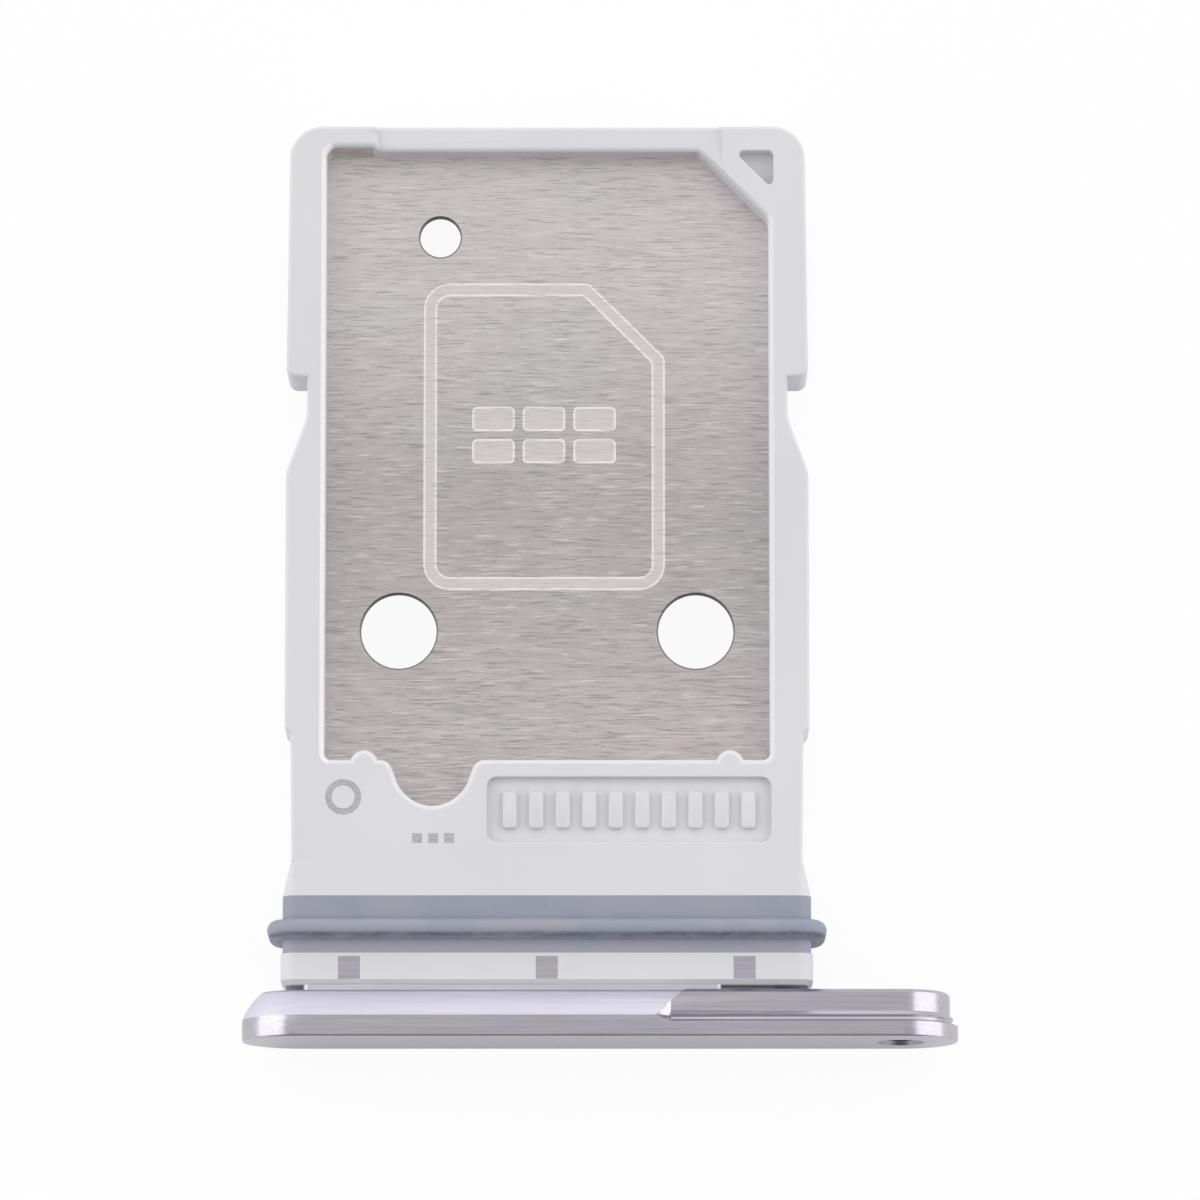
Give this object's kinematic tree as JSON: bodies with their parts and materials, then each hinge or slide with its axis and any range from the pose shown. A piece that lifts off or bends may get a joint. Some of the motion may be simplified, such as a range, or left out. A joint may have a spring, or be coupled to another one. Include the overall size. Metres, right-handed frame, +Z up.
{
  "type": "sim card tray",
  "caption": "Card drawer for a phone: a plastic frame moulded around a steel floor, a neck seal and a rounded metal end cap with an eject-pin hole.",
  "frame": {"origin": "middle of the whole tray's underside: the centre of its bounding box in plan, at the end cap's lowest line", "axes": "+Y from the end cap towards the tip that enters the phone first, +X to the right as seen from above with the cap nearest the viewer, +Z up out of the main card pocket"},
  "size_m": [0.0144, 0.0186, 0.0023],
  "materials": {
    "steel": "stamped stainless steel, brushed across",
    "white_plastic": "fine matt moulded plastic, white",
    "grey_silicone": "soft satin silicone, blue-grey",
    "cap_aluminium": "bead-blasted and anodised aluminium, pale grey"
  },
  "bodies": {
    "root": {"floor_plate": "steel", "tray_frame": "white_plastic", "neck_seal": "grey_silicone", "end_cap": "cap_aluminium"}
  },
  "joints": []
}
